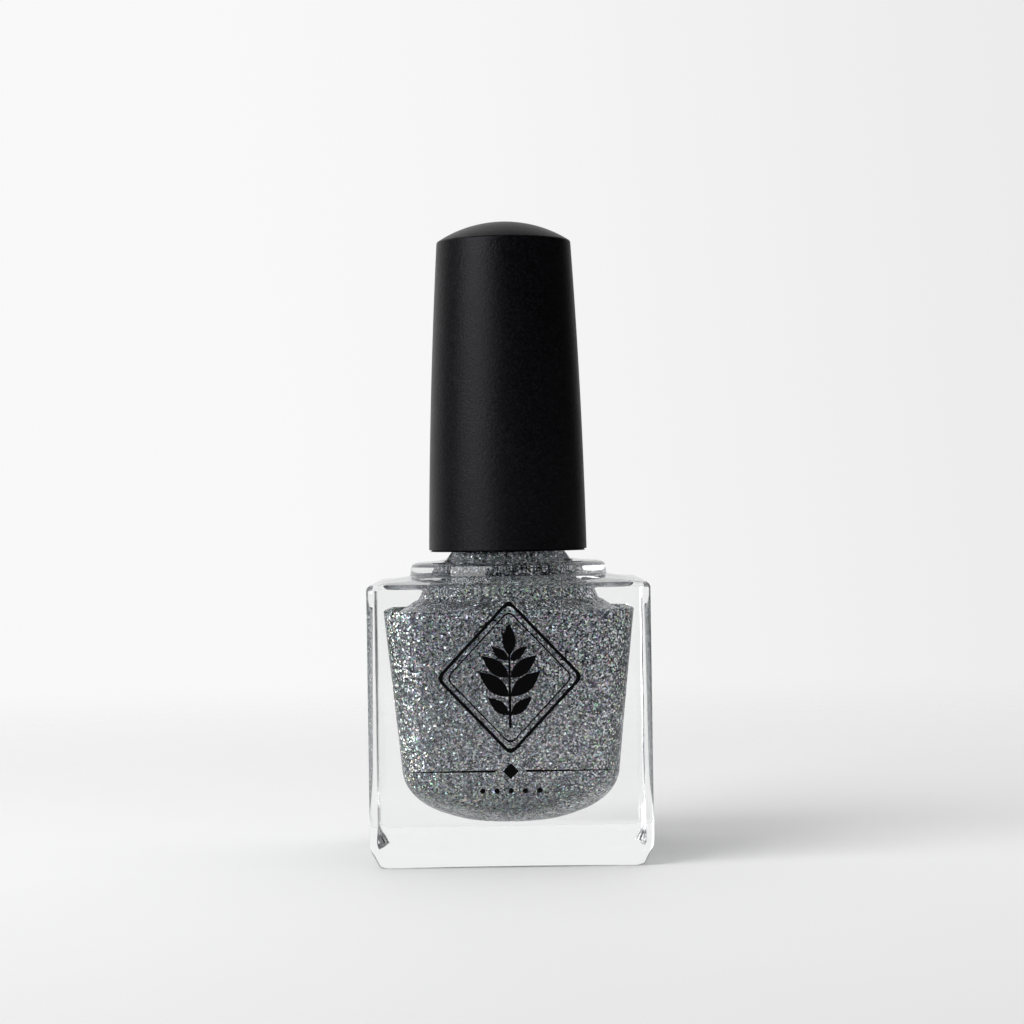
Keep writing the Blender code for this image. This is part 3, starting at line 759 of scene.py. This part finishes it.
def liner_piece():
    """A washer with eased edges."""
    hole, rim, low, high = LINER_HOLE_RADIUS, LINER_HIGH.x, LINER_LOW.z, LINER_HIGH.z
    edge = 0.12 * MM
    section = filleted([(hole, low + 0.3 * MM, 0), (hole, low, edge), (rim, low, edge), (rim, high, edge),
                        (hole, high, edge), (hole, low + 0.5 * MM, 0)], 3)
    liner = new_piece("rim_liner", turned(section, RING_STEPS, closed=True), foam_material())
    settle(liner, "liner", "foam_liner", "cap_liner")


def rod_piece():
    """Brush stem: head, sealing flange, retaining bead, gentle taper and the hollow tip."""
    flange_low = LINER_HIGH.z + CLOSURE_GAP
    flange_high = flange_low + 1.0 * MM
    bead = LINER_LOW.z - CLOSURE_GAP - 2 * THREAD_PITCH
    hole_top = ROD_LOW.z + STEM_HOLE_DEPTH
    head, stem, tip, hole = STEM_HEAD_RADIUS, STEM_RADIUS, STEM_TIP_RADIUS, STEM_HOLE_RADIUS
    flange = ROD_HIGH.x
    centre, easing = 0.15 * MM, 0.2 * MM
    corners = [(centre, ROD_HIGH.z, 0), (head, ROD_HIGH.z, 2 * easing), (head, flange_high, easing),
               (flange, flange_high, easing), (flange, flange_low, easing), (stem, flange_low, 0.3 * MM),
               (stem, bead, 0.1 * MM), (STEM_BEAD_RADIUS, bead, easing), (stem, bead - 1.2 * MM, 0.5 * MM),
               (tip, ROD_LOW.z + 2 * MM, 2.0 * MM), (tip, ROD_LOW.z, 0.25 * MM),
               (hole, ROD_LOW.z, 0.12 * MM), (hole, hole_top, easing), (centre, hole_top, 0)]
    rod = new_piece("brush_stem", turned(refine(filleted(corners, 4), 1.5 * MM), 64),
                    plastic_material("stem_plastic", (0.80, 0.80, 0.78), 0.32))
    settle(rod, "applicator", "stem_plastic", "brush_rod")


def filament(bm, path, radii, sides=5):
    """A closed thin tube along a path, with a radius for each of its points."""
    rings = []
    for index, point in enumerate(path):
        ahead = path[min(index + 1, len(path) - 1)] - path[max(index - 1, 0)]
        across = ahead.cross(Vector((0.3, 1.0, 0.1))).normalized()
        along = ahead.cross(across).normalized()
        ring = []
        for side in range(sides):
            turn = 2 * math.pi * side / sides
            ring.append(point + radii[index] * (across * math.cos(turn) + along * math.sin(turn)))
        rings.append(ring)
    add_loft(bm, rings)


def tuft_spread(down, z):
    """Radius of the tuft at a share of its length: it swells below the stem and draws in at the tip."""
    if z > ROD_LOW.z - 0.2 * MM:
        return TUFT_ROOT_RADIUS
    swell = TUFT_HIGH.x - 0.12 * MM - TUFT_ROOT_RADIUS
    spread = TUFT_ROOT_RADIUS + swell * math.sin(math.pi * min(down, TUFT_TIP_SHARE) * 0.66)
    if down > TUFT_TIP_SHARE:
        spread -= 0.5 * MM * ((down - TUFT_TIP_SHARE) / (1 - TUFT_TIP_SHARE)) ** 1.5
    return spread


def tuft_piece():
    """Some hundreds of nylon filaments that leave the stem's tip in a bundle, swell and draw in."""
    draw = random.Random(7)
    top, bottom = ANCHOR_BOTTOM_Z - 0.35 * MM, TUFT_LOW.z
    steps = range(FILAMENT_STEPS + 1)
    radii = [FILAMENT_RADIUS * (1 - 0.22 * max(0, step - 9)) for step in steps]
    bm = bmesh.new()
    for index in range(FILAMENTS):
        share = math.sqrt((index + 0.5) / FILAMENTS)
        length = 1.0 - 0.10 * share ** 2 - 0.05 * draw.random()
        swirl = draw.uniform(-0.12, 0.12)
        path = []
        for step in steps:
            down = step / FILAMENT_STEPS * length
            z = top + (bottom - top) * down
            spread = tuft_spread(down, z) * share
            turn = index * GOLDEN_ANGLE + swirl * down
            path.append(Vector((spread * math.cos(turn), spread * math.sin(turn), z)))
        filament(bm, path, radii)
    tuft = new_piece("bristles", bm, filament_material())
    settle(tuft, "applicator", "nylon_filament", "bristle_tuft")


def anchor_piece():
    """The anchor wire keeps its CAD shape and takes brushed brass."""
    mesh = frame["nodes"]["tuft_anchor"].data
    mesh.materials.clear()
    mesh.materials.append(metal_material("anchor_brass", (0.72, 0.55, 0.28), 0.28, (0.1, 1, 1)))


def ball_pieces():
    """The two steel mixing balls."""
    steel = metal_material("ball_steel", (0.62, 0.63, 0.65), 0.14, (1, 1, 1))
    for number in (1, 2):
        low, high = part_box(f"mixing_ball_{number}")
        bm = bmesh.new()
        bmesh.ops.create_uvsphere(bm, u_segments=48, v_segments=32, radius=(high.z - low.z) / 2)
        bmesh.ops.translate(bm, verts=bm.verts, vec=(low + high) / 2)
        ball = new_piece(f"steel_ball_{number}", bm, steel)
        settle(ball, f"ball_{number}", "ball_steel", f"mixing_ball_{number}")


# ---- studio ------------------------------------------------------------------------------------

def floor():
    """A pale sheet, darkened towards the viewer by painted shade, that melts into the backdrop away from
    the object.
    """
    bm = bmesh.new()
    bmesh.ops.create_circle(bm, cap_ends=True, segments=96, radius=FLOOR_RADIUS)
    bmesh.ops.translate(bm, verts=bm.verts, vec=(0, 0, -0.02 * MM))
    look = Shader("pale_sheet", (0.86, 0.86, 0.86), 0.7, Specular_IOR_Level=0.1)
    depth = look.node("ShaderNodeSeparateXYZ", {"Vector": look.place}).outputs["Y"]
    mottle = look.ramp(look.noise(0.03), -0.008, 0.008)
    # Painted shade: the sheet's colour darkens towards the viewer in place of light falling off at the
    # front; the mottle added to it is random tone.
    painted_shade_and_mottle = look.math('ADD', look.ramp(depth, 0.74, 0.87, -0.11, -0.015), mottle)
    grey = look.node("ShaderNodeCombineColor", {0: painted_shade_and_mottle, 1: painted_shade_and_mottle, 2: painted_shade_and_mottle})
    look.link(grey.outputs["Color"], "Base Color")
    near = look.vector('ADD', look.place, (0.0, 0.06, 0.0))
    look.link(look.ramp(look.vector('LENGTH', near), 1.0, 0.0, 0.09, 0.4, 'SMOOTHSTEP'), "Alpha")
    new_piece("sheet", bm, look.material)


def world():
    """A white studio: pale background for the eye, darker towards the viewer for reflections."""
    space = bpy.data.worlds.new("studio")
    bpy.context.scene.world = space
    space.use_nodes = True
    sky = Nodes(space.node_tree)
    sky.tree.nodes.clear()
    direction = sky.node("ShaderNodeTexCoord").outputs["Generated"]

    def shade(towards, low, high, start, end):
        """Brightness that rises smoothly towards a direction."""
        return sky.ramp(sky.vector('DOT_PRODUCT', direction, towards), low, high, start, end, 'SMOOTHSTEP')

    def glow(strength):
        background = sky.node("ShaderNodeBackground", {"Color": (1, 1, 1, 1), "Strength": strength})
        return background.outputs["Background"]

    seen = glow(shade((1.0, 0.0, 0.12), 0.945, 0.83, -0.12, 0.27))
    lit = glow(shade((-0.25, 0.85, 0.75), 0.05, 0.82, -0.45, 0.55))
    behind = shade((-0.3, 1.0, 0.0), 0.35, 0.90, -0.9, -0.05)
    left = shade((-1.0, 0.0, 0.0), 0.0, 2.3, 0.30, 0.95)
    through = glow(sky.math('ADD', behind, left))
    mirrored = glow(shade((-0.32, 0.84, 0.22), 0.01, 0.90, 0.34, 0.95))
    path = sky.node("ShaderNodeLightPath")
    light = lit
    skies = {"Is Glossy Ray": mirrored, "Is Transmission Ray": through, "Is Camera Ray": seen}
    for kind, part in skies.items():
        light = sky.node("ShaderNodeMixShader", {0: path.outputs[kind], 1: light, 2: part}).outputs[0]
    sky.node("ShaderNodeOutputWorld", {"Surface": light})


def soft_box(name, azimuth, distance, centre_z, size, radiance):
    """A rectangular light that faces the object; azimuth 0 is the viewer's side, and 90 is the right."""
    data = bpy.data.lights.new(name, 'AREA')
    data.shape = 'RECTANGLE'
    data.size, data.size_y = size
    data.energy = radiance * math.pi * size[0] * size[1]
    light = bpy.data.objects.new(name, data)
    bpy.context.scene.collection.objects.link(light)
    turn = math.radians(azimuth)
    light.location = (math.sin(turn) * distance, -math.cos(turn) * distance, centre_z)
    towards = Vector((0, 0, 35 * MM)) - light.location
    light.rotation_mode = 'QUATERNION'
    light.rotation_quaternion = towards.to_track_quat('-Z', 'Y')


def camera():
    """A long lens, a little above the shoulder of the bottle and turned by a hair."""
    data = bpy.data.cameras.new("camera")
    data.sensor_width = 36.0
    data.lens = FOCAL_IN_FRAME_WIDTHS * data.sensor_width
    data.clip_start = 0.01
    data.clip_end = 20.0
    obj = bpy.data.objects.new("camera", data)
    bpy.context.scene.collection.objects.link(obj)
    obj.matrix_world = (Matrix.Translation((CAMERA_ASIDE, -CAMERA_DISTANCE, CAMERA_HEIGHT))
                        @ Matrix.Rotation(math.radians(90), 4, 'X')
                        @ Matrix.Rotation(math.radians(-CAMERA_ROLL), 4, 'Z'))
    bpy.context.scene.camera = obj


def studio():
    """Sky, floor, the one soft light from the left and the view."""
    world()
    floor()
    soft_box("key", -50, 0.62, 0.34, (0.56, 0.62), 4.6)
    camera()
    bpy.context.scene.view_settings.view_transform = 'Standard'


glass_piece()
lacquer_piece()
front_print()
cap_piece()
inner_cap_piece()
liner_piece()
rod_piece()
tuft_piece()
anchor_piece()
ball_pieces()
studio()
